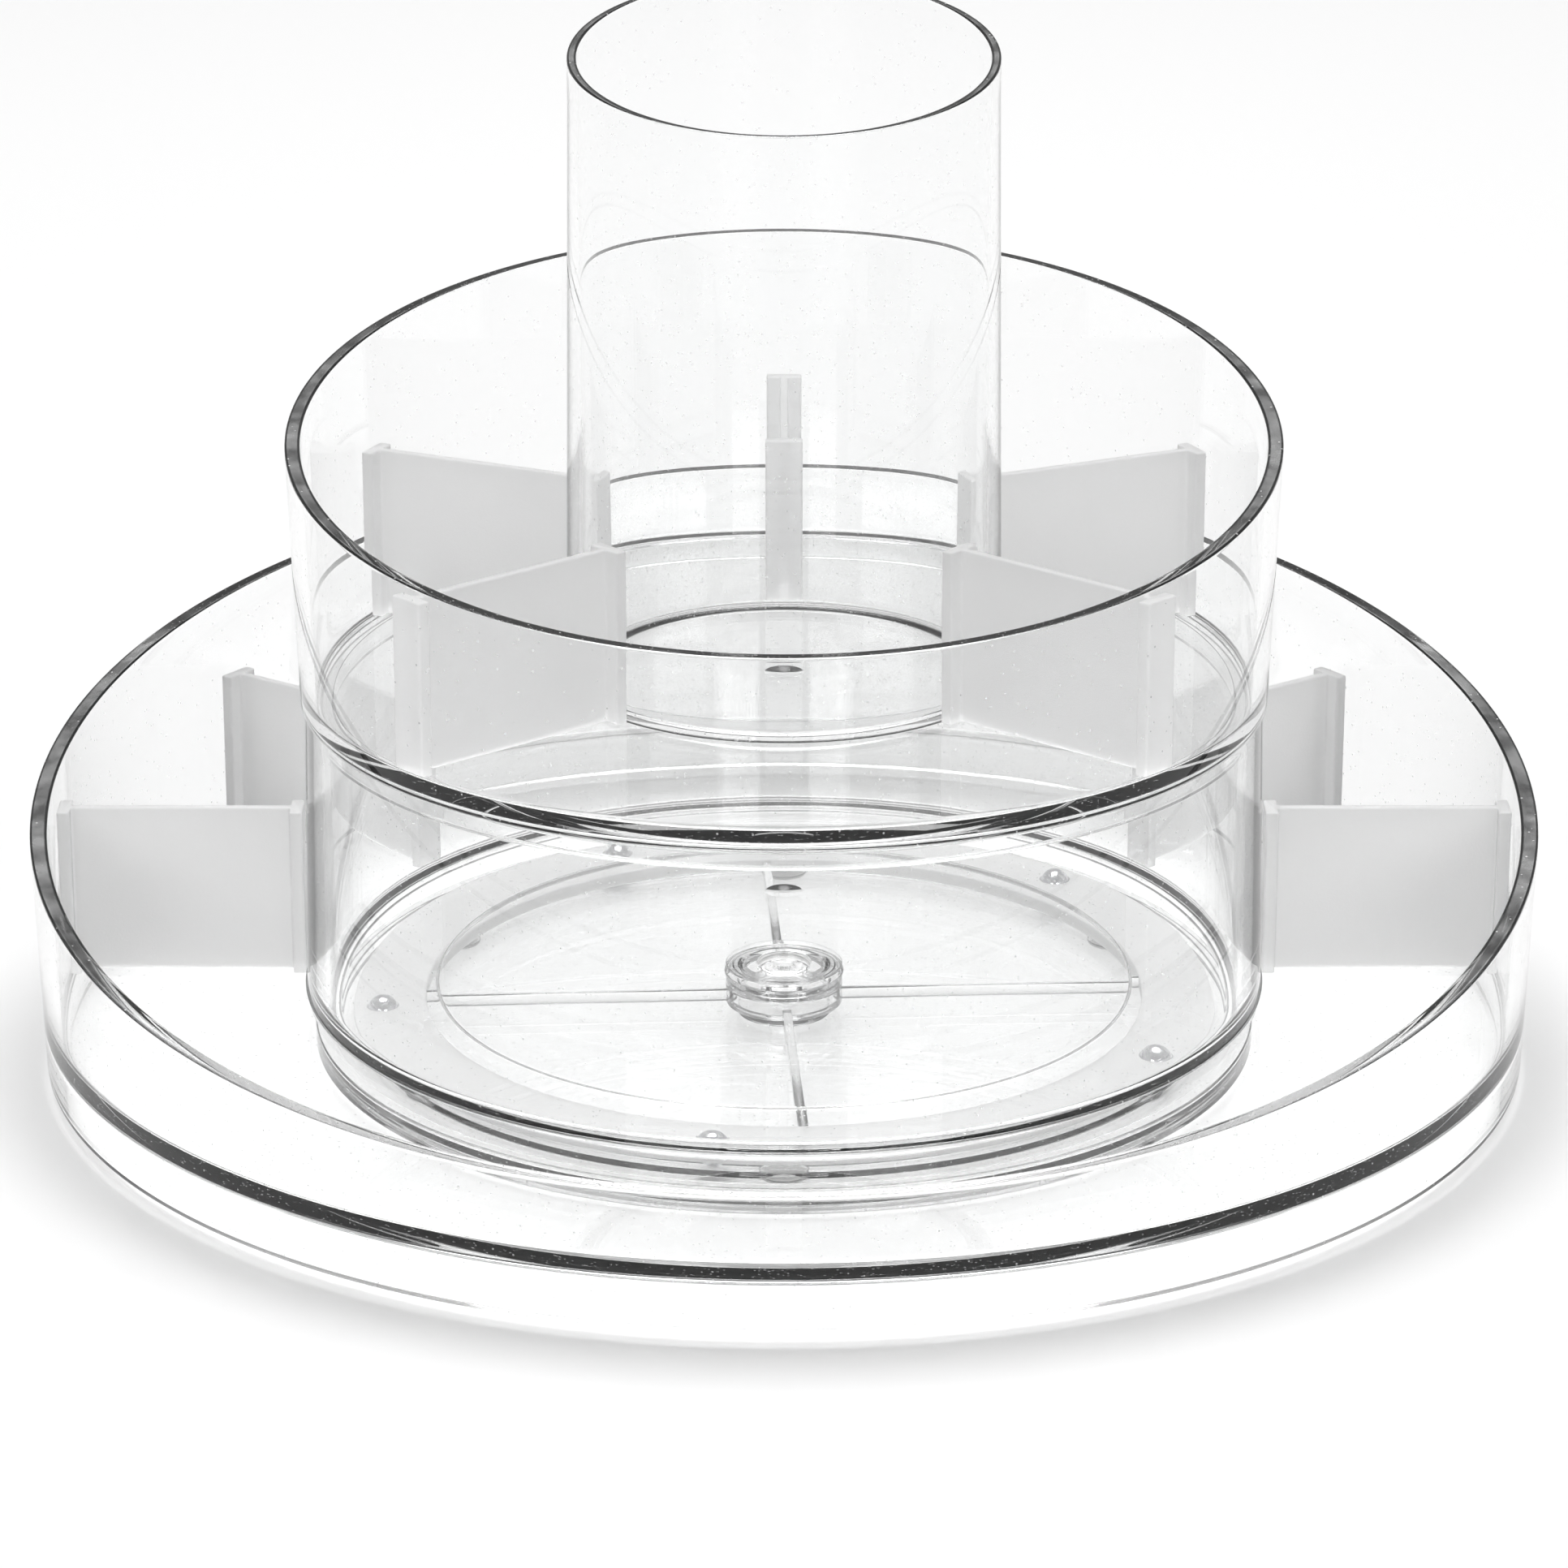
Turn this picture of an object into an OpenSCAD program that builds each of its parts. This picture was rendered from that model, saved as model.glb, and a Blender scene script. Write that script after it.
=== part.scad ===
// Two-tier lazy susan turntable with a centre cup.
// A still base plate carries a ball cage. The lower tray and its riser turn on the balls, the upper tray with its
// cup stands on the riser, and loose dividers stand between the walls. Both trays and the cup have slanted rims,
// low at the front (-Y) and high at the back (+Y). The origin is on the table, on the turning axis.

/* [Lower tray] */
// Outer radius of the lower tray at the middle of its slanted rim
lower_r = 150; // [140:1:170]
// Height of the slanted rim at the middle
lower_rim_z = 52.5; // [45:0.5:60]
// Height of the wall's bottom edge above the table
lower_edge_z = 2.5; // [2:0.1:3]
// Wall thickness
lower_wall = 3.4; // [2.8:0.1:4]
// Height of the floor's top face
lower_floor_z = 15.5; // [15.4:0.1:15.8]
// Outward lean of the wall per millimetre of height
lower_draft = 0.032; // [0.01:0.001:0.04]
// Slant of every rim, in degrees
rim_slant = 8.75; // [0:0.25:12]

/* [Riser] */
// Outer radius at its foot
riser_r_foot = 96; // [94:0.5:97]
// Outer radius at its top
riser_r_top = 94.9; // [94:0.1:96]
// Inner radius
riser_r_in = 92.2; // [91:0.1:93]
// Height of its top face
riser_top_z = 75.1; // [70:0.1:80]

/* [Upper tray] */
// Outer radius at its bottom edge
upper_r_foot = 95.8; // [95:0.1:97]
// Height of the slanted rim at the middle
upper_rim_z = 128.2; // [115:0.1:140]
// Wall thickness
upper_wall = 3; // [2.5:0.1:3.5]
// Outward lean of the wall per millimetre of height
upper_draft = 0.033; // [0.01:0.001:0.04]
// Depth of the locating skirt inside the riser
skirt_depth = 4.6; // [3:0.1:8]

/* [Cup] */
// Outer radius at the upper tray's floor
cup_r_foot = 43.1; // [40:0.1:43.1]
// Outer radius at the rim
cup_r_top = 41.6; // [39:0.1:43]
// Inner radius
cup_r_in = 39.8; // [38:0.1:40]
// Height of the slanted rim at the middle
cup_rim_z = 203; // [180:1:230]

/* [Dividers] */
// Length across both flanges
divider_length = 49; // [47:0.1:49.2]
// Height
divider_height = 34.4; // [25:0.1:36]
// Thickness of the plate
divider_plate = 1.8; // [1.4:0.1:2.4]
// Width of the end flanges
flange_width = 8; // [5:0.5:8]
// Thickness of the end flanges
flange_thick = 2.6; // [1.5:0.1:3]
// Angles of the lower dividers from the back, in degrees
lower_angles = [-90, -54, 54, 90];
// Angles of the upper dividers from the back, in degrees
upper_angles = [-131, -65, 0, 65, 131];

/* [Bearing] */
// Radius of the ball circle
ball_circle_r = 81.5; // [80:0.5:82]
// Ball diameter
ball_d = 6.35; // [6:0.05:6.4]
// Number of balls
ball_count = 5; // [5:1:5]
// Angle of the first ball from the back, in degrees
ball_angle = 45.5; // [0:0.5:72]
// Height of the ball centres
ball_z = 7.2; // [7.2:0.05:7.25]
// Number of cage spokes
spoke_count = 4; // [3:1:6]
// Angle of the first spoke from the back, in degrees
spoke_angle = -3; // [-45:1:45]

/* [Base plate] */
// Outer radius
base_r = 94.5; // [93:0.5:96]
// Height of the underside above the table
base_z = 0.6; // [0.4:0.1:0.8]
// Number of foot pads
pad_count = 6; // [6:1:6]
// Radius of a foot pad
pad_r = 5; // [4:0.5:6]

/* [Hidden] */
$fn = 180;

function node_names(name, count) = [for (i = [1:count]) str(name, "_", i)];

clear = [0.93, 0.95, 0.96, 0.35];
frosted = [0.88, 0.88, 0.88];
steel = [0.75, 0.76, 0.78];

// Larger than the whole object, for cutting blocks
cut = 400;
// Gap between faces that only rest on each other
rest_gap = 0.05;
// Gap between a ball and the faces it rolls on
race_gap = 0.05;

// Lower tray: the radius of its outer wall at the height z
function lower_wall_r(z) = lower_r - (lower_rim_z - z) * lower_draft;
lower_floor_t = 3.5;
lower_under_z = lower_floor_z - lower_floor_t;
rim_top = lower_r * tan(rim_slant) + 5;

// Upper tray: it stands on the riser, and its floor is level with the cup's
upper_foot_z = riser_top_z + rest_gap;
upper_floor_t = 3.6;
upper_floor_z = upper_foot_z + upper_floor_t;
skirt_r = riser_r_in - 0.3;
skirt_t = 2.4;
function upper_wall_r(z) = upper_r_foot + (z - upper_foot_z) * upper_draft;

// Dividers: the inner end of each one, just clear of the riser or the cup
lower_divider_r = riser_r_foot + 0.2;
upper_divider_r = cup_r_foot + 0.3;

// Base plate: a dish with a raised ball track, a boss for the cage and a split snap post. The tray rolls on the
// balls with a wide flat land under its floor
base_t = 2.8;
base_floor_z = base_z + base_t;
base_rim_t = 3;
base_rim_z = 5.3;
track_half = 3.75;
base_track_z = base_floor_z + 1.2;
tray_track_z = ball_z + ball_d / 2 + race_gap;
tray_track_r_in = 70.2;
tray_track_r_out = 90.5;
pad_circle_r = 80;
pad_recess = 0.7;

// Hub: a post on the base snaps into a flanged bush in the tray's floor
post_r = 4.54;
post_bore_r = 2.4;
post_head_z = 13.35;
post_head_r = 5.1;
post_top_r = 4.2;
post_top_z = 14.9;
post_slot = 1;
post_slot_z = 8;
pin_r = 2.38;
pin_top_z = 14.3;
pin_tip_r = 0.9;
pin_tip_z = 15.2;
bush_r = 8;
bush_flange_r = 11.8;
bush_flange_t = 0.5;
bush_bore_r = 4.6;
bush_socket_r = 5.4;
bush_ledge_z = 13.2;
hub_boss_z = 9.4;

// Cage: a flat ring with an inner lip, spokes and a collar round the base's boss
cage_r_out = 87.4;
cage_r_in = 72.6;
cage_lip_t = 1.6;
cage_top_z = 8.2;
cage_ring_t = 1.3;
cage_lip_z = 5.4;
spoke_w = 1.8;
spoke_z = 5.6;
spoke_top_z = 7.8;
collar_r = 11.8;
collar_bore_r = 9.3;
collar_top_z = 9.2;
boss_r = collar_bore_r - 0.08;
boss_top_z = 6;
pocket_gap = 0.1;

// Shallow round marks that the mould's gates leave in the floors
gate_r = 3.9;
gate_depth = 0.5;
lower_gate_y = 40.4;

// Takes away all that is above the slanted plane through the height z on the axis
module cut_above_slant(z) {
    difference() {
        children();
        translate([0, 0, z])
            rotate([rim_slant, 0, 0])
                translate([-cut / 2, -cut / 2, 0])
                    cube(cut);
    }
}

// A ring from its inner and outer radius and its bottom and top height
module ring(r_in, r_out, z_bottom, z_top) {
    translate([0, 0, z_bottom])
        difference() {
            cylinder(r = r_out, h = z_top - z_bottom);
            translate([0, 0, -1])
                cylinder(r = r_in, h = z_top - z_bottom + 2);
        }
}

// The round groove that the balls roll in
module ball_race() {
    rotate_extrude()
        translate([ball_circle_r, ball_z])
            circle(d = ball_d + 2 * race_gap, $fn = 48);
}

// The hollow of a gate mark in a floor whose top is at the height z
module gate_mark(z) {
    ball_r = (gate_r * gate_r + gate_depth * gate_depth) / (2 * gate_depth);
    translate([0, 0, z + ball_r - gate_depth])
        sphere(r = ball_r);
}

// Places a child at an angle from the back, turning towards +X, with its own +X pointing outward
module at_angle(angle) {
    rotate([0, 0, 90 - angle])
        children();
}

module base_plate() {
    color(clear)
        difference() {
            union() {
                translate([0, 0, base_z])
                    cylinder(r = base_r, h = base_t);
                ring(base_r - base_rim_t, base_r, base_z, base_rim_z);
                ring(ball_circle_r - track_half, ball_circle_r + track_half, base_z, base_track_z);
                translate([0, 0, base_z])
                    cylinder(r = boss_r, h = boss_top_z - base_z);
                translate([0, 0, base_z])
                    cylinder(r = post_r, h = post_head_z - base_z);
                translate([0, 0, post_head_z])
                    cylinder(r1 = post_head_r, r2 = post_top_r, h = post_top_z - post_head_z);
            }
            ball_race();
            translate([0, 0, base_floor_z])
                cylinder(r = post_bore_r, h = cut);
            for (turn = [0, 90])
                rotate([0, 0, turn + 45])
                    translate([-bush_r, -post_slot / 2, post_slot_z])
                        cube([2 * bush_r, post_slot, cut]);
            for (i = [1:pad_count])
                foot_pad_place(i)
                    translate([0, 0, -1])
                        cylinder(r = pad_r, h = base_z + pad_recess + 1);
        }
}

module foot_pad_place(i) {
    at_angle(360 / pad_count * i)
        translate([pad_circle_r, 0, 0])
            children();
}

module foot_pad(i) {
    color(frosted)
        foot_pad_place(i)
            cylinder(r = pad_r, h = base_z + pad_recess);
}

module hub_pin() {
    color(clear) {
        translate([0, 0, base_floor_z])
            cylinder(r = pin_r, h = pin_top_z - base_floor_z);
        translate([0, 0, pin_top_z])
            cylinder(r1 = pin_r, r2 = pin_tip_r, h = pin_tip_z - pin_top_z);
    }
}

module ball_cage() {
    color(frosted)
        difference() {
            union() {
                rotate_extrude()
                    polygon([
                        [cage_r_in, cage_lip_z],
                        [cage_r_in + cage_lip_t, cage_lip_z],
                        [cage_r_in + cage_lip_t, cage_top_z - cage_ring_t],
                        [cage_r_out, cage_top_z - cage_ring_t],
                        [cage_r_out, cage_top_z],
                        [cage_r_in, cage_top_z]
                    ]);
                ring(collar_bore_r, collar_r, cage_lip_z, collar_top_z);
                for (i = [0:spoke_count - 1])
                    at_angle(spoke_angle + i * 360 / spoke_count)
                        translate([collar_r - 1, -spoke_w / 2, spoke_z])
                            cube([cage_r_in - collar_r + 1.8, spoke_w, spoke_top_z - spoke_z]);
            }
            for (i = [1:ball_count])
                ball_place(i)
                    cylinder(r = ball_d / 2 + pocket_gap, h = 2 * ball_d, center = true);
        }
}

module ball_place(i) {
    at_angle(ball_angle + (i - 1) * 360 / ball_count)
        translate([ball_circle_r, 0, ball_z])
            children();
}

module bearing_ball(i) {
    color(steel)
        ball_place(i)
            sphere(d = ball_d);
}

module lower_tray() {
    wall_top = lower_rim_z + rim_top;
    color(clear)
        difference() {
            union() {
                cut_above_slant(lower_rim_z)
                    rotate_extrude()
                        polygon([
                            [lower_wall_r(lower_edge_z) - lower_wall, lower_edge_z],
                            [lower_wall_r(lower_edge_z), lower_edge_z],
                            [lower_wall_r(wall_top), wall_top],
                            [lower_wall_r(wall_top) - lower_wall, wall_top]
                        ]);
                translate([0, 0, lower_under_z])
                    cylinder(r = lower_wall_r(lower_under_z) - lower_wall / 2, h = lower_floor_t);
                rotate_extrude()
                    polygon([
                        [riser_r_in, lower_under_z + 1],
                        [riser_r_foot, lower_under_z + 1],
                        [riser_r_foot, lower_floor_z],
                        [riser_r_top, riser_top_z],
                        [riser_r_in, riser_top_z]
                    ]);
                ring(tray_track_r_in, tray_track_r_out, tray_track_z, lower_floor_z - 1);
                translate([0, 0, hub_boss_z])
                    cylinder(r = collar_r, h = lower_floor_z - 1 - hub_boss_z);
            }
            cylinder(r = bush_r, h = 2 * lower_floor_z);
            translate([0, lower_gate_y, 0])
                gate_mark(lower_floor_z);
        }
}

module hub_cap() {
    color(clear)
        difference() {
            union() {
                translate([0, 0, hub_boss_z])
                    cylinder(r = bush_r, h = lower_floor_z - hub_boss_z);
                translate([0, 0, lower_floor_z])
                    cylinder(r = bush_flange_r, h = bush_flange_t);
            }
            cylinder(r = bush_bore_r, h = cut);
            translate([0, 0, bush_ledge_z])
                cylinder(r = bush_socket_r, h = cut);
        }
}

module upper_tray() {
    wall_top = upper_rim_z + rim_top;
    cup_top = cup_rim_z + rim_top;
    color(clear)
        difference() {
            union() {
                cut_above_slant(upper_rim_z)
                    rotate_extrude()
                        polygon([
                            [upper_wall_r(upper_foot_z) - upper_wall, upper_foot_z],
                            [upper_wall_r(upper_foot_z), upper_foot_z],
                            [upper_wall_r(wall_top), wall_top],
                            [upper_wall_r(wall_top) - upper_wall, wall_top]
                        ]);
                translate([0, 0, upper_foot_z])
                    cylinder(r = upper_r_foot - upper_wall / 2, h = upper_floor_t);
                ring(skirt_r - skirt_t, skirt_r, upper_foot_z - skirt_depth, upper_foot_z + 1);
                cut_above_slant(cup_rim_z)
                    rotate_extrude()
                        polygon([
                            [cup_r_in, upper_foot_z + 1],
                            [cup_r_foot, upper_foot_z + 1],
                            [cup_r_foot, upper_floor_z],
                            [cup_r_top, cup_rim_z],
                            [cup_r_top, cup_top],
                            [cup_r_in, cup_top]
                        ]);
            }
            gate_mark(upper_floor_z);
        }
}

// One divider along +X from the origin: a plate with a flange at each end
module divider() {
    color(frosted) {
        translate([0, -divider_plate / 2, 0])
            cube([divider_length, divider_plate, divider_height]);
        for (x = [0, divider_length - flange_thick])
            translate([x, -flange_width / 2, 0])
                cube([flange_thick, flange_width, divider_height]);
    }
}

module lower_divider(i) {
    at_angle(lower_angles[i - 1])
        translate([lower_divider_r, 0, lower_floor_z + rest_gap])
            divider();
}

module upper_divider(i) {
    at_angle(upper_angles[i - 1])
        translate([upper_divider_r, 0, upper_floor_z + rest_gap])
            divider();
}

base_plate();
hub_pin();
ball_cage();
lower_tray();
hub_cap();
upper_tray();
for (i = [1:pad_count])
    foot_pad(i);
for (i = [1:ball_count])
    bearing_ball(i);
for (i = [1:len(lower_angles)])
    lower_divider(i);
for (i = [1:len(upper_angles)])
    upper_divider(i);
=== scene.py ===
"""Looks for the two-tier lazy susan turntable: clear trays, frosted dividers and a caged ball bearing."""

import math

import bmesh
import bpy
from mathutils import Matrix, Vector


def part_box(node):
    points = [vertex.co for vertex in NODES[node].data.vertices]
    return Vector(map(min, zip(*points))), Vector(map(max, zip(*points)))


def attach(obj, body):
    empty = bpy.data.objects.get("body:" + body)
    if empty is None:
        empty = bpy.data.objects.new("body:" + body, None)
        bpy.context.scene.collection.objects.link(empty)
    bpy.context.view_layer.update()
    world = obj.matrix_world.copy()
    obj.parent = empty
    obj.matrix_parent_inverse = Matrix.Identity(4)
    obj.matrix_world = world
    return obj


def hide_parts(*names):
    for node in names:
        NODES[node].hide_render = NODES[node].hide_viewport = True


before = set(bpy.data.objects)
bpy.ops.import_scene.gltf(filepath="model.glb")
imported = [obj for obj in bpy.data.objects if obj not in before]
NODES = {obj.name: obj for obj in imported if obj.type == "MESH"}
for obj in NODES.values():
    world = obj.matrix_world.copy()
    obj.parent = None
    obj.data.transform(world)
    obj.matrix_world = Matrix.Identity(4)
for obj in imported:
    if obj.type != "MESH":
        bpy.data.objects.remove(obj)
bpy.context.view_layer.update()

MM = 0.001

# ---------------------------------------------------------------- sizes, in millimetres unless stated

TURNS = 384
CUT_ANGLE = math.radians(8.75)
RIM_SLANT = math.tan(CUT_ANGLE)
CUT_ROUGHNESS = 0.18
CUT_CLOUD = (0.06, 0.3)
EDGE = 0.45
SMALL_EDGE = 0.2
FOOT_FILLET = 2.0
ARC_STEPS = 5
PLAY = 0.02


def box_mm(node):
    """The lowest and highest corner of a CAD node, in millimetres."""
    low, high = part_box(node)
    return low / MM, high / MM


LOWER_LOW, LOWER_HIGH = box_mm("lower_tray")
UPPER_LOW, UPPER_HIGH = box_mm("upper_tray")
BASE_LOW, BASE_HIGH = box_mm("base_plate")
CAGE_LOW, CAGE_HIGH = box_mm("ball_cage")
PIN_LOW, PIN_HIGH = box_mm("hub_pin")
BUSH_LOW, BUSH_HIGH = box_mm("hub_cap")
BALL_LOW, BALL_HIGH = box_mm("bearing_ball_1")
REST_GAP = 0.05

# Lower tray and riser
LOWER_R = LOWER_HIGH.x
LOWER_DRAFT = 0.032
LOWER_WALL = 3.4
LOWER_RIM_Z = LOWER_HIGH.z - LOWER_HIGH.y * RIM_SLANT
LOWER_EDGE_Z = LOWER_LOW.z
LOWER_FLOOR_Z = box_mm("lower_divider_1")[0].z - REST_GAP
LOWER_UNDER_Z = LOWER_FLOOR_Z - 3.5
RISER_R_FOOT = 96.0
RISER_R_TOP = 94.9
RISER_R_IN = 92.2
RISER_TOP_Z = 75.1

# Upper tray and cup
UPPER_FLOOR_Z = box_mm("upper_divider_1")[0].z - REST_GAP
UPPER_FOOT_Z = UPPER_FLOOR_Z - 3.6
UPPER_R_FOOT = 95.8
UPPER_WALL = 3.0
UPPER_DRAFT = 0.033
UPPER_RIM_Z = 128.2
SKIRT_R = RISER_R_IN - 0.3
SKIRT_T = 2.4
SKIRT_Z = UPPER_LOW.z
CUP_R_FOOT = 43.1
CUP_R_TOP = 41.6
CUP_R_IN = 39.8
CUP_RIM_Z = UPPER_HIGH.z - CUP_R_TOP * RIM_SLANT

# Bearing and base plate
BALL_Z = (BALL_LOW.z + BALL_HIGH.z) / 2
BALL_R = (BALL_HIGH.z - BALL_LOW.z) / 2
BALL_CIRCLE_R = 81.5
RACE_R = BALL_R + 0.05
TRACK_HALF = 3.75
BASE_R = BASE_HIGH.x
BASE_Z = BASE_LOW.z
BASE_FLOOR_Z = PIN_LOW.z
BASE_RIM_Z = 5.3
BASE_RIM_T = 3.0
BASE_TRACK_Z = BASE_FLOOR_Z + 1.2
TRAY_TRACK_Z = BALL_HIGH.z + 0.05
TRAY_TRACK_IN = 70.2
TRAY_TRACK_OUT = 90.5
BOSS_R = 9.22
BOSS_TOP_Z = 6.0
POST_R = 4.54
POST_BORE_R = 2.4
POST_HEAD_Z = 13.35
POST_HEAD_R = 5.1
POST_TOP_R = 4.2
POST_TOP_Z = BASE_HIGH.z
POST_SLOT = 1.0
POST_SLOT_Z = 8.0
PIN_R = 2.38
PIN_TIP_R = 0.9
PIN_SHOULDER_Z = 14.3
BUSH_R = 8.0
BUSH_FLANGE_R = BUSH_HIGH.x
BUSH_BORE_R = 4.6
BUSH_SOCKET_R = 5.4
BUSH_LEDGE_Z = 13.2
HUB_BOSS_Z = BUSH_LOW.z
HUB_BOSS_R = 11.8
CAGE_R_OUT = CAGE_HIGH.x
CAGE_R_IN = 72.6
CAGE_LIP_T = 1.6
CAGE_RING_T = 1.3
CAGE_RING_Z = 8.2
CAGE_LIP_Z = CAGE_LOW.z
SPOKE_W = 1.8
SPOKE_Z = 5.6
SPOKE_TOP_Z = 7.8
SPOKES = (-3, 87, 177, 267)
COLLAR_BORE_R = 9.3
POCKET_R = BALL_R + 0.1

# Dividers
DIVIDER_L = 49.0
DIVIDER_PLATE = 1.8
FLANGE_W = 8.0
FLANGE_T = 2.6
FLANGE_EDGE = 0.5
LOWER_SEAT_R = 96.2
UPPER_SEAT_R = 43.4
LOWER_ANGLES = (-90, -54, 54, 90)
UPPER_ANGLES = (-131, -65, 0, 65, 131)

# Upright walls beyond these radii, in metres, cast the tray's shadow
SHADE_RADIUS = (0.125, 0.135)

# Gate marks in the floors
GATE_R = 3.9
GATE_DEPTH = 0.5
GATE_Y = 40.4

# The camera: what it looks at, how far away and how high, in metres and radians
TARGET = Vector((0, 0, 0.0475))
CAMERA_DISTANCE = 1.2
CAMERA_ELEVATION = 0.3473
CAMERA_LENS = 137.62
CAMERA_SHIFT_Y = 0.0215

# The lamps, in watts and metres, and the studio's brightness towards the camera side and elsewhere
KEY_POWER = 47
KEY_SIZE = (1.7, 1.7)
KEY_PLACE = (0, 0.6, 2.4)
KEY_AIM = (0, 0.2, 0)
FILL_POWER = 7
FILL_SIZE = (0.8, 0.6)
FILL_SIDE = 0.9
FILL_Y = -1.9
FILL_Z = 0.55
FILL_AIM = (0, 0, 0.08)
STUDIO_FRONT = 0.27
STUDIO_REST = 0.42


# ---------------------------------------------------------------- mesh helpers

def wall_line(r_ref, z_ref, draft):
    """The radius of a leaning wall as a function of the height."""
    return lambda z: r_ref + (z - z_ref) * draft


def rim_height(z_middle, r_of_z, turn):
    """The height of a slanted rim on a wall at an angle counted from +X."""
    rise = RIM_SLANT * math.sin(turn)
    z = z_middle
    for _ in range(4):
        z = z_middle + rise * r_of_z(z)
    return z


def round_corner(before, corner, after, radius):
    """Points that round one corner of a profile, with a support point on each side."""
    p = Vector(corner)
    a = Vector(before) - p
    b = Vector(after) - p
    len_a, len_b = a.length, b.length
    a.normalize()
    b.normalize()
    angle = a.angle(b)
    reach = radius / math.tan(angle / 2)
    reach = min(reach, len_a * 0.4, len_b * 0.4)
    radius = reach * math.tan(angle / 2)
    middle = (a + b).normalized() * (radius / math.sin(angle / 2))
    start = a * reach - middle
    end = b * reach - middle
    points = [p + a * min(reach * 1.8, len_a * 0.45)]
    for step in range(ARC_STEPS + 1):
        mix = step / ARC_STEPS
        arm = start.lerp(end, mix)
        arm.normalize()
        points.append(p + middle + arm * radius)
    points.append(p + b * min(reach * 1.8, len_b * 0.45))
    return [(q.x, q.y) for q in points]


def rounded(corners, closed):
    """A profile with its corners rounded. A corner is (radius, height) or (radius, height, rounding)."""
    count = len(corners)
    points = []
    for i, corner in enumerate(corners):
        plain = corner[:2]
        rounding = corner[2] if len(corner) > 2 else 0
        inside = closed or 0 < i < count - 1
        if rounding and inside:
            before = corners[(i - 1) % count][:2]
            after = corners[(i + 1) % count][:2]
            points += round_corner(before, plain, after, rounding)
        else:
            points.append(plain)
    return points


def lathe(name, profile_at, closed=True, turns=TURNS):
    """A solid of revolution whose profile may change with the angle. An open profile ends on the axis."""
    bm = bmesh.new()
    rings = []
    poles = {}
    for k in range(turns):
        turn = 2 * math.pi * k / turns
        c, s = math.cos(turn), math.sin(turn)
        points = rounded(profile_at(turn), closed)
        ring = []
        for i, (r, z) in enumerate(points):
            on_axis = not closed and i in (0, len(points) - 1)
            if on_axis:
                if i not in poles:
                    poles[i] = bm.verts.new((0, 0, z * MM))
                ring.append(poles[i])
            else:
                ring.append(bm.verts.new((r * c * MM, r * s * MM, z * MM)))
        rings.append(ring)
    count = len(rings[0])
    spans = count if closed else count - 1
    for k in range(turns):
        here, there = rings[k], rings[(k + 1) % turns]
        for i in range(spans):
            j = (i + 1) % count
            loop = []
            for v in (here[i], here[j], there[j], there[i]):
                if v not in loop:
                    loop.append(v)
            bm.faces.new(loop)
    return finish_mesh(name, bm)


def finish_mesh(name, bm, smooth=True):
    bmesh.ops.recalc_face_normals(bm, faces=bm.faces)
    for face in bm.faces:
        face.smooth = smooth
    mesh = bpy.data.meshes.new(name)
    bm.to_mesh(mesh)
    bm.free()
    obj = bpy.data.objects.new(name, mesh)
    bpy.context.scene.collection.objects.link(obj)
    return obj


def cut_away(obj, cutters):
    """Subtracts the cutters from a piece and removes them."""
    for cutter in cutters:
        mod = obj.modifiers.new("cut", "BOOLEAN")
        mod.operation = "DIFFERENCE"
        mod.solver = "EXACT"
        mod.object = cutter
    bpy.context.view_layer.update()
    done = obj.evaluated_get(bpy.context.evaluated_depsgraph_get())
    mesh = bpy.data.meshes.new_from_object(done)
    obj.modifiers.clear()
    obj.data = mesh
    mesh.name = obj.name
    for cutter in cutters:
        bpy.data.objects.remove(cutter)


def sharpen(obj, degrees, near=None):
    """Marks edges sharper than an angle, near a point if one is given."""
    bm = bmesh.new()
    bm.from_mesh(obj.data)
    limit = math.radians(degrees)
    for edge in bm.edges:
        if len(edge.link_faces) != 2:
            continue
        close = near is None or all((v.co - near[0]).length < near[1] for v in edge.verts)
        if close and edge.calc_face_angle(0) > limit:
            edge.smooth = False
    bm.to_mesh(obj.data)
    bm.free()


def block(name, x, y, z, edge=0.0, steps=2):
    """A box from its ranges in millimetres, with rounded edges."""
    bm = bmesh.new()
    bmesh.ops.create_cube(bm, size=1)
    size = Vector((x[1] - x[0], y[1] - y[0], z[1] - z[0])) * MM
    middle = Vector((x[1] + x[0], y[1] + y[0], z[1] + z[0])) * MM / 2
    for v in bm.verts:
        v.co = Vector((v.co.x * size.x, v.co.y * size.y, v.co.z * size.z)) + middle
    if edge:
        bmesh.ops.bevel(bm, geom=bm.edges[:], offset=edge * MM, segments=steps, profile=0.5, affect="EDGES")
    return finish_mesh(name, bm)


def turned(obj, angle, r=0.0, z=0.0):
    """Moves a mesh that lies along +X out to a radius and turns it to an angle from the back, towards +X."""
    place = Matrix.Rotation(math.radians(90 - angle), 4, "Z") @ Matrix.Translation((r * MM, 0, z * MM))
    obj.data.transform(place)
    return obj


# ---------------------------------------------------------------- the clear pieces

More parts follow.
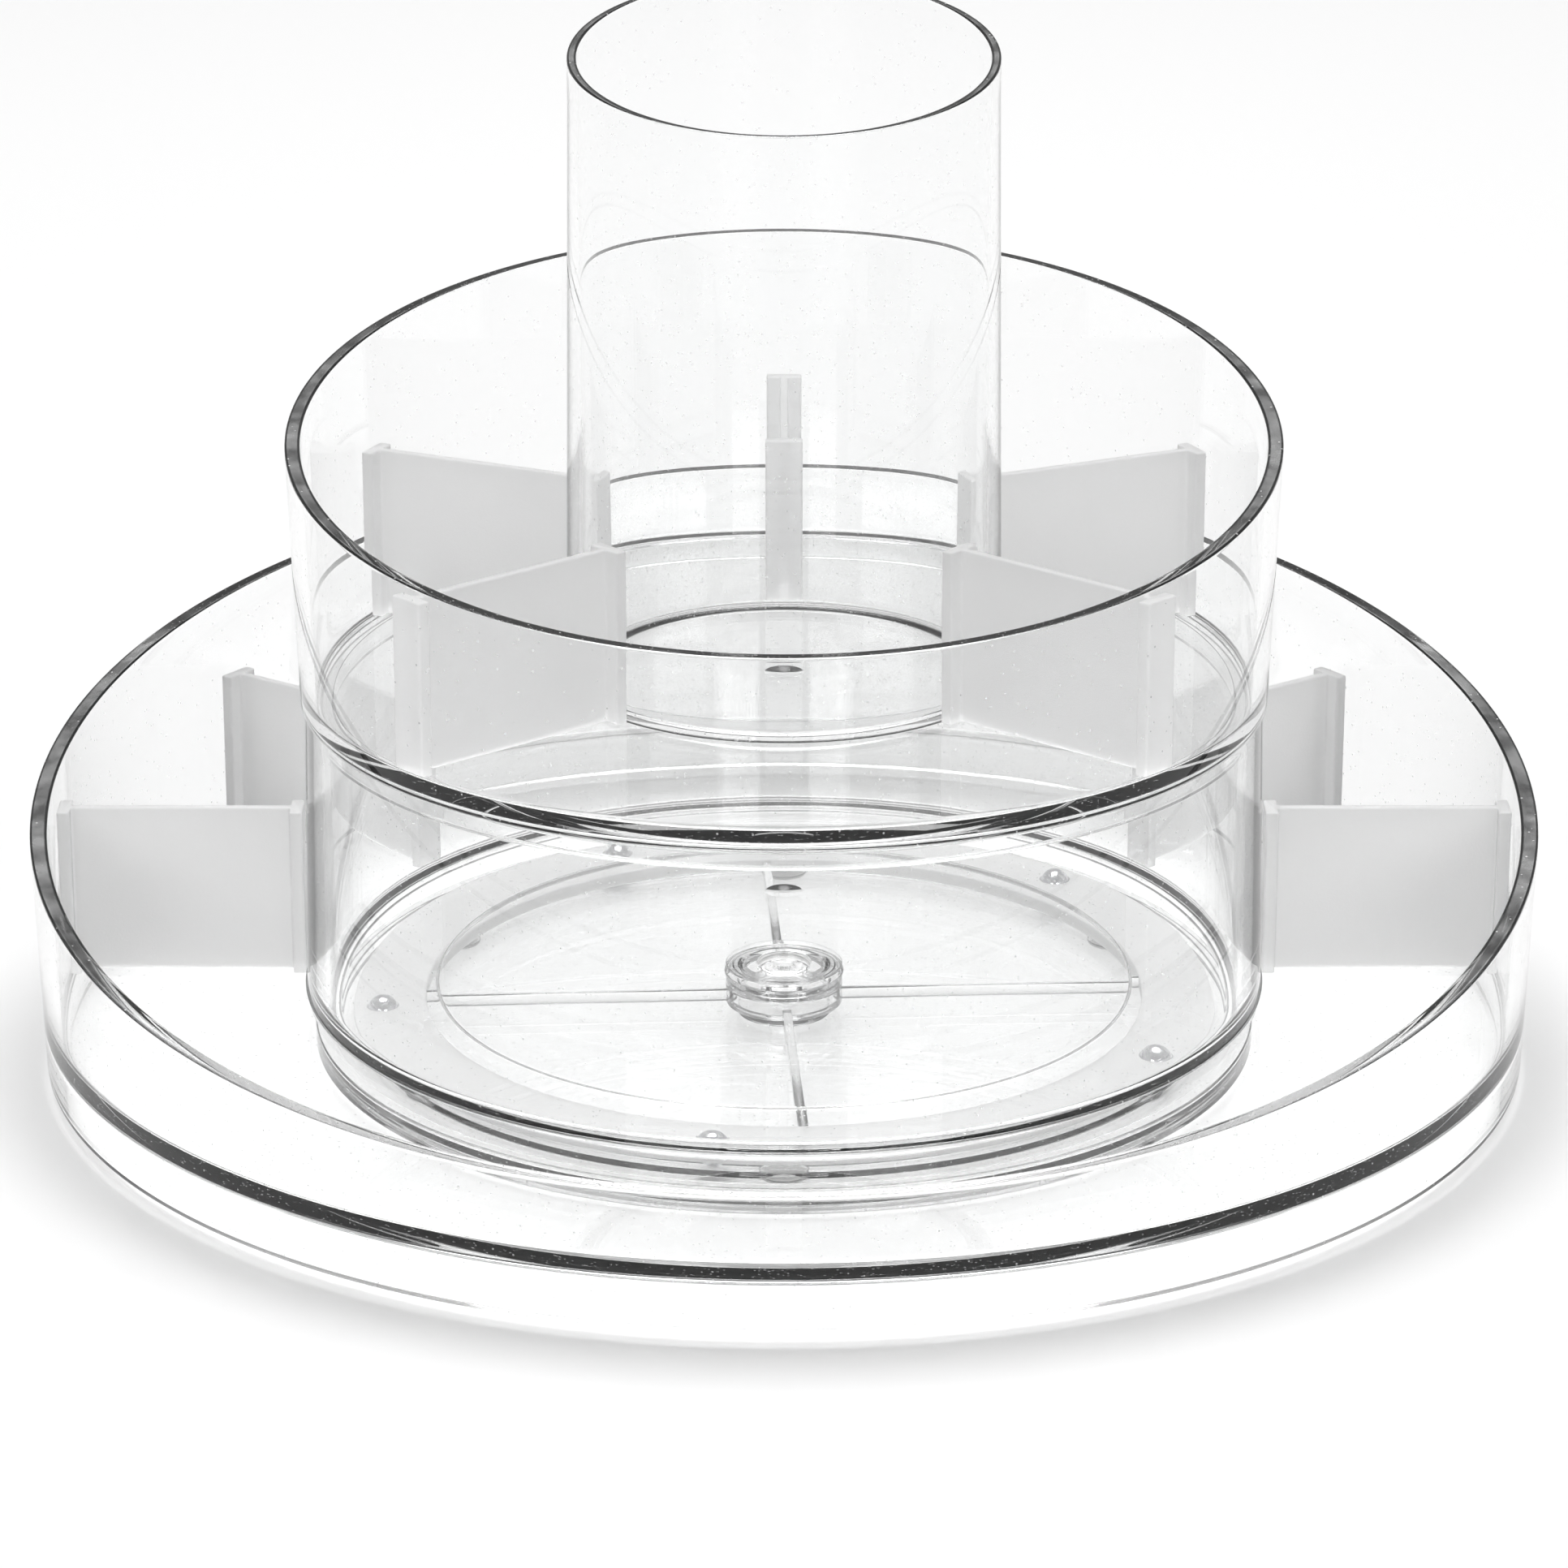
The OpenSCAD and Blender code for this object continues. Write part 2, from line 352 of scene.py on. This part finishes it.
def lower_profile(turn):
    wall = wall_line(LOWER_R, LOWER_RIM_Z, LOWER_DRAFT)
    rim = rim_height(LOWER_RIM_Z, wall, turn)
    inner_foot = wall(LOWER_EDGE_Z) - LOWER_WALL
    return [
        (BUSH_R, HUB_BOSS_Z, SMALL_EDGE),
        (HUB_BOSS_R, HUB_BOSS_Z, SMALL_EDGE),
        (HUB_BOSS_R, LOWER_UNDER_Z, 0.3),
        (TRAY_TRACK_IN, LOWER_UNDER_Z, 0.3),
        (TRAY_TRACK_IN, TRAY_TRACK_Z, 0.4),
        (TRAY_TRACK_OUT, TRAY_TRACK_Z, 0.4),
        (TRAY_TRACK_OUT, LOWER_UNDER_Z, 0.3),
        (wall(LOWER_UNDER_Z) - LOWER_WALL, LOWER_UNDER_Z, 1.0),
        (inner_foot, LOWER_EDGE_Z, 0.4),
        (wall(LOWER_EDGE_Z), LOWER_EDGE_Z, 0.6),
        (wall(rim), rim, EDGE),
        (wall(rim) - LOWER_WALL, rim, EDGE),
        (wall(LOWER_FLOOR_Z) - LOWER_WALL, LOWER_FLOOR_Z, 0.9),
        (RISER_R_FOOT, LOWER_FLOOR_Z, 0.5),
        (RISER_R_TOP, RISER_TOP_Z, 0.3),
        (RISER_R_IN, RISER_TOP_Z, 0.3),
        (RISER_R_IN, LOWER_FLOOR_Z, FOOT_FILLET),
        (BUSH_R, LOWER_FLOOR_Z, 0.1),
    ]


def upper_profile(turn):
    wall = wall_line(UPPER_R_FOOT, UPPER_FOOT_Z, UPPER_DRAFT)
    rim = rim_height(UPPER_RIM_Z, wall, turn)
    cup_rim_out = rim_height(CUP_RIM_Z, lambda z: CUP_R_TOP, turn)
    skirt_in = SKIRT_R - SKIRT_T
    return [
        (0, UPPER_FOOT_Z),
        (skirt_in, UPPER_FOOT_Z, 0.3),
        (skirt_in, SKIRT_Z, 0.3),
        (SKIRT_R, SKIRT_Z, 0.3),
        (SKIRT_R, UPPER_FOOT_Z, 0.1),
        (UPPER_R_FOOT, UPPER_FOOT_Z, EDGE),
        (wall(rim), rim, EDGE),
        (wall(rim) - UPPER_WALL, rim, EDGE),
        (wall(UPPER_FLOOR_Z) - UPPER_WALL, UPPER_FLOOR_Z, 0.8),
        (CUP_R_FOOT, UPPER_FLOOR_Z, 0.25),
        (CUP_R_TOP, CUP_RIM_Z - 8),
        (CUP_R_TOP, cup_rim_out, 0.4),
        (CUP_R_IN, cup_rim_out, 0.4),
        (CUP_R_IN, UPPER_FLOOR_Z, FOOT_FILLET),
        (GATE_R, UPPER_FLOOR_Z, 0.15),
        (GATE_R * 0.75, UPPER_FLOOR_Z - GATE_DEPTH * 0.44),
        (GATE_R * 0.5, UPPER_FLOOR_Z - GATE_DEPTH * 0.75),
        (GATE_R * 0.25, UPPER_FLOOR_Z - GATE_DEPTH * 0.94),
        (0, UPPER_FLOOR_Z - GATE_DEPTH),
    ]


def base_profile(turn):
    race_half = math.sqrt(RACE_R**2 - (BALL_Z - BASE_TRACK_Z) ** 2)
    race_low = BALL_Z - RACE_R
    return [
        (0, BASE_Z),
        (BASE_R, BASE_Z, 0.3),
        (BASE_R, BASE_RIM_Z, 0.4),
        (BASE_R - BASE_RIM_T, BASE_RIM_Z, 0.4),
        (BASE_R - BASE_RIM_T, BASE_FLOOR_Z, 0.5),
        (BALL_CIRCLE_R + TRACK_HALF, BASE_FLOOR_Z, 0.3),
        (BALL_CIRCLE_R + TRACK_HALF, BASE_TRACK_Z, SMALL_EDGE),
        (BALL_CIRCLE_R + race_half, BASE_TRACK_Z),
        (BALL_CIRCLE_R + race_half * 0.6, race_low + 0.2),
        (BALL_CIRCLE_R, race_low),
        (BALL_CIRCLE_R - race_half * 0.6, race_low + 0.2),
        (BALL_CIRCLE_R - race_half, BASE_TRACK_Z),
        (BALL_CIRCLE_R - TRACK_HALF, BASE_TRACK_Z, SMALL_EDGE),
        (BALL_CIRCLE_R - TRACK_HALF, BASE_FLOOR_Z, 0.3),
        (BOSS_R, BASE_FLOOR_Z, 0.3),
        (BOSS_R, BOSS_TOP_Z, 0.2),
        (POST_R, BOSS_TOP_Z, 0.2),
        (POST_R, POST_HEAD_Z, 0.1),
        (POST_HEAD_R, POST_HEAD_Z, 0.15),
        (POST_TOP_R, POST_TOP_Z, 0.2),
        (POST_BORE_R, POST_TOP_Z, 0.2),
        (POST_BORE_R, BASE_FLOOR_Z),
        (0, BASE_FLOOR_Z),
    ]


def pin_profile(turn):
    return [
        (0, PIN_LOW.z + PLAY),
        (PIN_R, PIN_LOW.z + PLAY),
        (PIN_R, PIN_SHOULDER_Z, 0.1),
        (PIN_TIP_R, PIN_HIGH.z, 0.2),
        (0, PIN_HIGH.z),
    ]


def bush_profile(turn):
    return [
        (BUSH_BORE_R, HUB_BOSS_Z, 0.15),
        (BUSH_R - PLAY, HUB_BOSS_Z, 0.15),
        (BUSH_R - PLAY, LOWER_FLOOR_Z + PLAY),
        (BUSH_FLANGE_R, LOWER_FLOOR_Z + PLAY, 0.1),
        (BUSH_FLANGE_R, BUSH_HIGH.z, 0.2),
        (BUSH_SOCKET_R, BUSH_HIGH.z, 0.2),
        (BUSH_SOCKET_R, BUSH_LEDGE_Z, 0.1),
        (BUSH_BORE_R, BUSH_LEDGE_Z, 0.15),
    ]


def lower_tray():
    piece = lathe("lower_tray_clear", lower_profile)
    ball_r = (GATE_R**2 + GATE_DEPTH**2) / (2 * GATE_DEPTH)
    centre = Vector((0, GATE_Y, LOWER_FLOOR_Z + ball_r - GATE_DEPTH)) * MM
    bm = bmesh.new()
    place = Matrix.Translation(centre)
    bmesh.ops.create_uvsphere(bm, u_segments=96, v_segments=192, radius=ball_r * MM, matrix=place)
    cutter = finish_mesh("gate_cutter", bm)
    cut_away(piece, [cutter])
    mark = Vector((0, GATE_Y, LOWER_FLOOR_Z)) * MM
    sharpen(piece, 8, (mark, 1.3 * GATE_R * MM))
    return piece


def base_plate():
    piece = lathe("base_plate_clear", base_profile, closed=False, turns=256)
    cutters = []
    for turn in (45, 135):
        reach = (-BUSH_R, BUSH_R)
        slot = block("slot_cutter", reach, (-POST_SLOT / 2, POST_SLOT / 2), (POST_SLOT_Z, POST_TOP_Z + 5))
        slot.data.transform(Matrix.Rotation(math.radians(turn), 4, "Z"))
        cutters.append(slot)
    cut_away(piece, cutters)
    return piece


# ---------------------------------------------------------------- dividers, cage and pads

def divider(name):
    """A plate with a flange at each end, lying along +X from the origin."""
    half_plate = DIVIDER_PLATE / 2
    half_flange = FLANGE_W / 2
    inner = FLANGE_T
    outer = DIVIDER_L - FLANGE_T
    outline = [
        (0, -half_flange, FLANGE_EDGE),
        (inner, -half_flange, FLANGE_EDGE),
        (inner, -half_plate, FLANGE_EDGE),
        (outer, -half_plate, FLANGE_EDGE),
        (outer, -half_flange, FLANGE_EDGE),
        (DIVIDER_L, -half_flange, FLANGE_EDGE),
        (DIVIDER_L, half_flange, FLANGE_EDGE),
        (outer, half_flange, FLANGE_EDGE),
        (outer, half_plate, FLANGE_EDGE),
        (inner, half_plate, FLANGE_EDGE),
        (inner, half_flange, FLANGE_EDGE),
        (0, half_flange, FLANGE_EDGE),
    ]
    low, high = box_mm("upper_divider_3")
    height = high.z - low.z
    plan = rounded(outline, True)
    edge = 0.3
    layers = [(0.0, edge), (edge * 0.3, edge * 0.3), (edge, 0.0), (edge * 2, 0.0)]
    levels = layers + [(height - z, inset) for z, inset in reversed(layers)]
    bm = bmesh.new()
    rings = []
    for z, inset in levels:
        ring = []
        for i, point in enumerate(plan):
            before = Vector(plan[i - 1])
            after = Vector(plan[(i + 1) % len(plan)])
            along = (after - before).normalized()
            inward = Vector((-along.y, along.x)) * inset
            ring.append(bm.verts.new(((point[0] + inward.x) * MM, (point[1] + inward.y) * MM, z * MM)))
        rings.append(ring)
    count = len(plan)
    for here, there in zip(rings, rings[1:]):
        for i in range(count):
            j = (i + 1) % count
            bm.faces.new((here[i], here[j], there[j], there[i]))
    bm.faces.new(rings[0][::-1])
    bm.faces.new(rings[-1])
    return finish_mesh(name, bm)


def cage_ring():
    def profile(turn):
        return [
            (CAGE_R_IN, CAGE_LIP_Z, 0.25),
            (CAGE_R_IN + CAGE_LIP_T, CAGE_LIP_Z, 0.25),
            (CAGE_R_IN + CAGE_LIP_T, CAGE_RING_Z - CAGE_RING_T, 0.2),
            (CAGE_R_OUT, CAGE_RING_Z - CAGE_RING_T, 0.3),
            (CAGE_R_OUT, CAGE_RING_Z, 0.3),
            (CAGE_R_IN, CAGE_RING_Z, 0.4),
        ]

    piece = lathe("cage_ring", profile, turns=256)
    cutters = []
    for i in range(1, 6):
        low, high = box_mm(f"bearing_ball_{i}")
        middle = (low + high) / 2 * MM
        bm = bmesh.new()
        bmesh.ops.create_cone(
            bm, cap_ends=True, segments=64, radius1=POCKET_R * MM, radius2=POCKET_R * MM, depth=20 * MM,
            matrix=Matrix.Translation(middle))
        cutters.append(finish_mesh("pocket_cutter", bm, smooth=False))
    cut_away(piece, cutters)
    sharpen(piece, 30)
    return piece


def cage_collar():
    def profile(turn):
        return [
            (COLLAR_BORE_R, CAGE_LIP_Z, 0.3),
            (HUB_BOSS_R, CAGE_LIP_Z, 0.3),
            (HUB_BOSS_R, CAGE_HIGH.z, 0.3),
            (COLLAR_BORE_R, CAGE_HIGH.z, 0.3),
        ]

    return lathe("cage_collar", profile, turns=128)


def cage_spoke(name, angle):
    half = SPOKE_W / 2
    piece = block(name, (HUB_BOSS_R - 0.8, CAGE_R_IN + 0.8), (-half, half), (SPOKE_Z, SPOKE_TOP_Z), edge=0.25)
    return turned(piece, angle)


def foot_pad(i):
    low, high = box_mm(f"foot_pad_{i}")
    r = (high.x - low.x) / 2

    def profile(turn):
        return [
            (0, low.z),
            (r - 0.1, low.z, 0.4),
            (r - 0.1, high.z - PLAY, 0.2),
            (0, high.z - PLAY),
        ]

    piece = lathe(f"foot_pad_{i}_soft", profile, closed=False, turns=64)
    middle = (low + high) / 2
    piece.data.transform(Matrix.Translation(Vector((middle.x, middle.y, 0)) * MM))
    return piece


# ---------------------------------------------------------------- materials

class Nodes:
    """A short way to add and join shader nodes."""

    def __init__(self, tree):
        self.tree = tree
        self.tree.nodes.clear()

    def add(self, kind, **values):
        node = self.tree.nodes.new(kind)
        for key, value in values.items():
            if hasattr(node, key) and key not in node.inputs:
                setattr(node, key, value)
            else:
                node.inputs[key].default_value = value
        return node

    def join(self, a, out, b, into):
        self.tree.links.new(a.outputs[out], b.inputs[into])


def new_material(name):
    mat = bpy.data.materials.new(name)
    mat.use_nodes = True
    return mat, Nodes(mat.node_tree)


def scaled_noise(n, coords, scale, detail=2.0, stretch=(1, 1, 1)):
    mapping = n.add("ShaderNodeMapping")
    mapping.inputs["Scale"].default_value = stretch
    n.join(coords, "Object", mapping, "Vector")
    noise = n.add("ShaderNodeTexNoise", Scale=scale, Detail=detail)
    n.join(mapping, "Vector", noise, "Vector")
    return noise


def ramp(n, source, out, from_min, from_max, to_min, to_max):
    node = n.add("ShaderNodeMapRange")
    node.inputs["From Min"].default_value = from_min
    node.inputs["From Max"].default_value = from_max
    node.inputs["To Min"].default_value = to_min
    node.inputs["To Max"].default_value = to_max
    n.join(source, out, node, "Value")
    return node


def pass_lamps(n, shader, through):
    """Joins a shader to the output, with a transparent one in its place for rays from lamps."""
    path = n.add("ShaderNodeLightPath")
    mix = n.add("ShaderNodeMixShader")
    n.join(path, "Is Shadow Ray", mix, 0)
    n.join(shader, 0, mix, 1)
    n.join(through, 0, mix, 2)
    out = n.add("ShaderNodeOutputMaterial")
    n.join(mix, 0, out, "Surface")


def cut_mask(n, coords):
    """One on the slant-cut rims, whose faces all point the same way, and zero elsewhere."""
    facing = n.add("ShaderNodeVectorMath", operation="DOT_PRODUCT")
    n.join(coords, "Normal", facing, 0)
    facing.inputs[1].default_value = (0, -math.sin(CUT_ANGLE), math.cos(CUT_ANGLE))
    return ramp(n, facing, "Value", 0.996, 0.9995, 0.0, 1.0)


def clear_material(name, tint, roughness, wave, dust):
    """Clear moulded plastic: lets lamps through, with faint flow waves, dust specks and streaked cut rims."""
    mat, n = new_material(name)
    coords = n.add("ShaderNodeTexCoord")
    flow = scaled_noise(n, coords, 22, 2.0, (1, 1, 3))
    ripple = n.add("ShaderNodeBump", Strength=1.0, Distance=wave)
    n.join(flow, "Fac", ripple, "Height")
    shader = n.add("ShaderNodeBsdfPrincipled")
    shader.inputs["Base Color"].default_value = (*tint, 1)
    shader.inputs["IOR"].default_value = 1.49
    haze = scaled_noise(n, coords, 60, 3.0)
    rough = ramp(n, haze, "Fac", 0.35, 0.75, roughness, roughness * 3)
    cut = cut_mask(n, coords)
    rough_cut = n.add("ShaderNodeMath", operation="MULTIPLY_ADD")
    n.join(cut, "Result", rough_cut, 0)
    rough_cut.inputs[1].default_value = CUT_ROUGHNESS
    n.join(rough, "Result", rough_cut, 2)
    n.join(rough_cut, "Value", shader, "Roughness")
    specks = n.add("ShaderNodeTexVoronoi", Scale=420.0)
    n.join(coords, "Object", specks, "Vector")
    clean = ramp(n, specks, "Distance", 0.06, 0.11, 1.0 - dust, 1.0)
    streaks = scaled_noise(n, coords, 140, 4.0)
    cloudy = ramp(n, streaks, "Fac", 0.35, 0.65, *CUT_CLOUD)
    milky = n.add("ShaderNodeMath", operation="MULTIPLY")
    n.join(cut, "Result", milky, 0)
    n.join(cloudy, "Result", milky, 1)
    passing = n.add("ShaderNodeMath", operation="SUBTRACT")
    n.join(clean, "Result", passing, 0)
    n.join(milky, "Value", passing, 1)
    n.join(passing, "Value", shader, "Transmission Weight")
    n.join(ripple, "Normal", shader, "Normal")
    through = n.add("ShaderNodeBsdfTransparent")
    flat = n.add("ShaderNodeVectorMath", operation="MULTIPLY")
    n.join(coords, "Object", flat, 0)
    flat.inputs[1].default_value = (1, 1, 0)
    radius = n.add("ShaderNodeVectorMath", operation="LENGTH")
    n.join(flat, "Vector", radius, 0)
    upright = ramp(n, radius, "Value", *SHADE_RADIUS, 0.85, 0.03)
    facing = n.add("ShaderNodeNewGeometry")
    split = n.add("ShaderNodeSeparateXYZ")
    n.join(facing, "Normal", split, "Vector")
    level = n.add("ShaderNodeMath", operation="ABSOLUTE")
    n.join(split, "Z", level, 0)
    dim = ramp(n, level, "Value", 0.2, 0.6, 0.85, 0.93)
    n.join(upright, "Result", dim, "To Min")
    n.join(dim, "Result", through, "Color")
    pass_lamps(n, shader, through)
    return mat


def frosted_material(name, colour, roughness, grain, clear):
    """Frosted translucent plastic with a fine grain and a cloudy tone."""
    mat, n = new_material(name)
    coords = n.add("ShaderNodeTexCoord")
    shader = n.add("ShaderNodeBsdfPrincipled")
    cloud = scaled_noise(n, coords, 35, 4.0)
    tone = n.add("ShaderNodeMix", data_type="RGBA")
    low = [c * 0.96 for c in colour]
    tone.inputs["A"].default_value = (*low, 1)
    tone.inputs["B"].default_value = (*colour, 1)
    n.join(cloud, "Fac", tone, "Factor")
    n.tree.links.new(tone.outputs["Result"], shader.inputs["Base Color"])
    fine = scaled_noise(n, coords, 2600, 2.0)
    bump = n.add("ShaderNodeBump", Strength=grain, Distance=0.0001)
    n.join(fine, "Fac", bump, "Height")
    n.join(bump, "Normal", shader, "Normal")
    rough = ramp(n, fine, "Fac", 0.3, 0.7, roughness * 0.9, min(roughness * 1.1, 1))
    n.join(rough, "Result", shader, "Roughness")
    shader.inputs["Transmission Weight"].default_value = clear
    shader.inputs["IOR"].default_value = 1.49
    through = n.add("ShaderNodeBsdfTransparent")
    through.inputs["Color"].default_value = (0.9, 0.9, 0.9, 1)
    pass_lamps(n, shader, through)
    return mat


def steel_material():
    mat, n = new_material("ball_steel")
    coords = n.add("ShaderNodeTexCoord")
    shader = n.add("ShaderNodeBsdfPrincipled")
    shader.inputs["Base Color"].default_value = (0.82, 0.82, 0.84, 1)
    shader.inputs["Metallic"].default_value = 1.0
    marks = scaled_noise(n, coords, 900, 3.0)
    rough = ramp(n, marks, "Fac", 0.3, 0.7, 0.06, 0.16)
    n.join(rough, "Result", shader, "Roughness")
    bump = n.add("ShaderNodeBump", Strength=0.08, Distance=0.00005)
    n.join(marks, "Fac", bump, "Height")
    n.join(bump, "Normal", shader, "Normal")
    out = n.add("ShaderNodeOutputMaterial")
    n.join(shader, 0, out, "Surface")
    return mat


def floor_material():
    mat, n = new_material("pale_floor")
    coords = n.add("ShaderNodeTexCoord")
    shader = n.add("ShaderNodeBsdfPrincipled")
    grain = scaled_noise(n, coords, 300, 2.0)
    rough = ramp(n, grain, "Fac", 0.3, 0.7, 0.55, 0.65)
    n.join(rough, "Result", shader, "Roughness")
    shader.inputs["Base Color"].default_value = (0.93, 0.93, 0.93, 1)
    out = n.add("ShaderNodeOutputMaterial")
    n.join(shader, 0, out, "Surface")
    return mat


# ---------------------------------------------------------------- assembly

def dress(piece, mat, body, slot, *nodes):
    """Gives a piece its material and its body, and hides the CAD nodes that it stands for. The slot is not
    used.
    """
    piece.data.materials.clear()
    piece.data.materials.append(mat)
    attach(piece, body)
    if nodes:
        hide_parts(*nodes)
    return piece


def build_object():
    clear = clear_material("clear_tray", (0.985, 0.987, 0.987), 0.003, 0.00001, 0.5)
    clear_small = clear_material("clear_small", (0.99, 0.993, 0.993), 0.01, 0.000005, 0.2)
    frosted = frosted_material("frosted_divider", (0.94, 0.94, 0.94), 0.6, 0.3, 0.6)
    spoke = clear_material("cage_spoke", (0.97, 0.97, 0.97), 0.05, 0.00001, 0.0)
    cage = frosted_material("cage_plastic", (0.87, 0.87, 0.87), 0.45, 0.2, 0.55)
    pad = clear_material("soft_pad", (0.99, 0.99, 0.99), 0.1, 0.0001, 0.1)
    steel = steel_material()

    dress(lower_tray(), clear, "turntable", "clear_acrylic", "lower_tray")
    bush = lathe("hub_bush_clear", bush_profile, turns=128)
    dress(bush, clear_small, "turntable", "clear_acrylic", "hub_cap")
    upper = lathe("upper_tray_clear", upper_profile, closed=False)
    dress(upper, clear, "top_tier", "clear_acrylic", "upper_tray")
    dress(base_plate(), clear, "base", "clear_acrylic", "base_plate")
    pin = lathe("hub_pin_clear", pin_profile, closed=False, turns=64)
    dress(pin, clear_small, "base", "clear_acrylic", "hub_pin")
    for i in range(1, 7):
        dress(foot_pad(i), pad, "base", "pad_rubber", f"foot_pad_{i}")
    dress(cage_ring(), cage, "cage", "cage_plastic", "ball_cage")
    dress(cage_collar(), spoke, "cage", "cage_plastic")
    for i, angle in enumerate(SPOKES, 1):
        dress(cage_spoke(f"cage_spoke_{i}", angle), spoke, "cage", "cage_plastic")
    for i in range(1, 6):
        ball = NODES[f"bearing_ball_{i}"]
        ball.data.materials.clear()
        ball.data.materials.append(steel)
    for i, angle in enumerate(LOWER_ANGLES, 1):
        node = f"lower_divider_{i}"
        low, high = box_mm(node)
        piece = turned(divider(f"{node}_frosted"), angle, LOWER_SEAT_R, low.z)
        dress(piece, frosted, node, "frosted_divider", node)
    for i, angle in enumerate(UPPER_ANGLES, 1):
        node = f"upper_divider_{i}"
        low, high = box_mm(node)
        piece = turned(divider(f"{node}_frosted"), angle, UPPER_SEAT_R, low.z)
        dress(piece, frosted, node, "frosted_divider", node)


def area_light(name, power, size, place, aim):
    data = bpy.data.lights.new(name, "AREA")
    data.energy = power
    data.shape = "RECTANGLE"
    data.size, data.size_y = size
    obj = bpy.data.objects.new(name, data)
    obj.location = place
    obj.rotation_euler = (Vector(aim) - Vector(place)).to_track_quat("-Z", "Y").to_euler()
    bpy.context.scene.collection.objects.link(obj)


def build_world():
    world = bpy.data.worlds.new("studio")
    bpy.context.scene.world = world
    world.use_nodes = True
    n = Nodes(world.node_tree)
    coords = n.add("ShaderNodeTexCoord")
    split = n.add("ShaderNodeSeparateXYZ")
    n.join(coords, "Generated", split, "Vector")
    back = ramp(n, split, "Y", -0.85, -0.45, 0.0, 1.0)
    colour = n.add("ShaderNodeMix", data_type="RGBA")
    colour.inputs["A"].default_value = (STUDIO_FRONT, STUDIO_FRONT, STUDIO_FRONT, 1)
    colour.inputs["B"].default_value = (STUDIO_REST, STUDIO_REST, STUDIO_REST, 1)
    n.join(back, "Result", colour, "Factor")
    shade = n.add("ShaderNodeBackground", Strength=1.0)
    n.tree.links.new(colour.outputs["Result"], shade.inputs["Color"])
    out = n.add("ShaderNodeOutputWorld")
    n.join(shade, 0, out, "Surface")


def build_stage():
    bm = bmesh.new()
    bmesh.ops.create_grid(bm, x_segments=8, y_segments=8, size=6)
    floor = finish_mesh("floor", bm)
    floor.data.materials.append(floor_material())
    area_light("key", KEY_POWER, KEY_SIZE, KEY_PLACE, KEY_AIM)
    area_light("front_left", FILL_POWER, FILL_SIZE, (-FILL_SIDE, FILL_Y, FILL_Z), FILL_AIM)
    area_light("front_right", FILL_POWER, FILL_SIZE, (FILL_SIDE, FILL_Y, FILL_Z), FILL_AIM)
    build_world()
    scene = bpy.context.scene
    scene.view_settings.view_transform = "Standard"
    scene.cycles.max_bounces = 18
    scene.cycles.transmission_bounces = 18
    scene.cycles.transparent_max_bounces = 24
    scene.cycles.glossy_bounces = 8
    scene.cycles.diffuse_bounces = 3


def build_camera():
    data = bpy.data.cameras.new("camera")
    data.sensor_width = 36
    data.lens = CAMERA_LENS
    data.shift_y = CAMERA_SHIFT_Y
    data.clip_start = 0.01
    obj = bpy.data.objects.new("camera", data)
    back = CAMERA_DISTANCE * math.cos(CAMERA_ELEVATION)
    up = CAMERA_DISTANCE * math.sin(CAMERA_ELEVATION)
    obj.location = TARGET + Vector((0, -back, up))
    obj.rotation_euler = (math.pi / 2 - CAMERA_ELEVATION, 0, 0)
    bpy.context.scene.collection.objects.link(obj)
    bpy.context.scene.camera = obj


build_camera()
build_stage()
build_object()
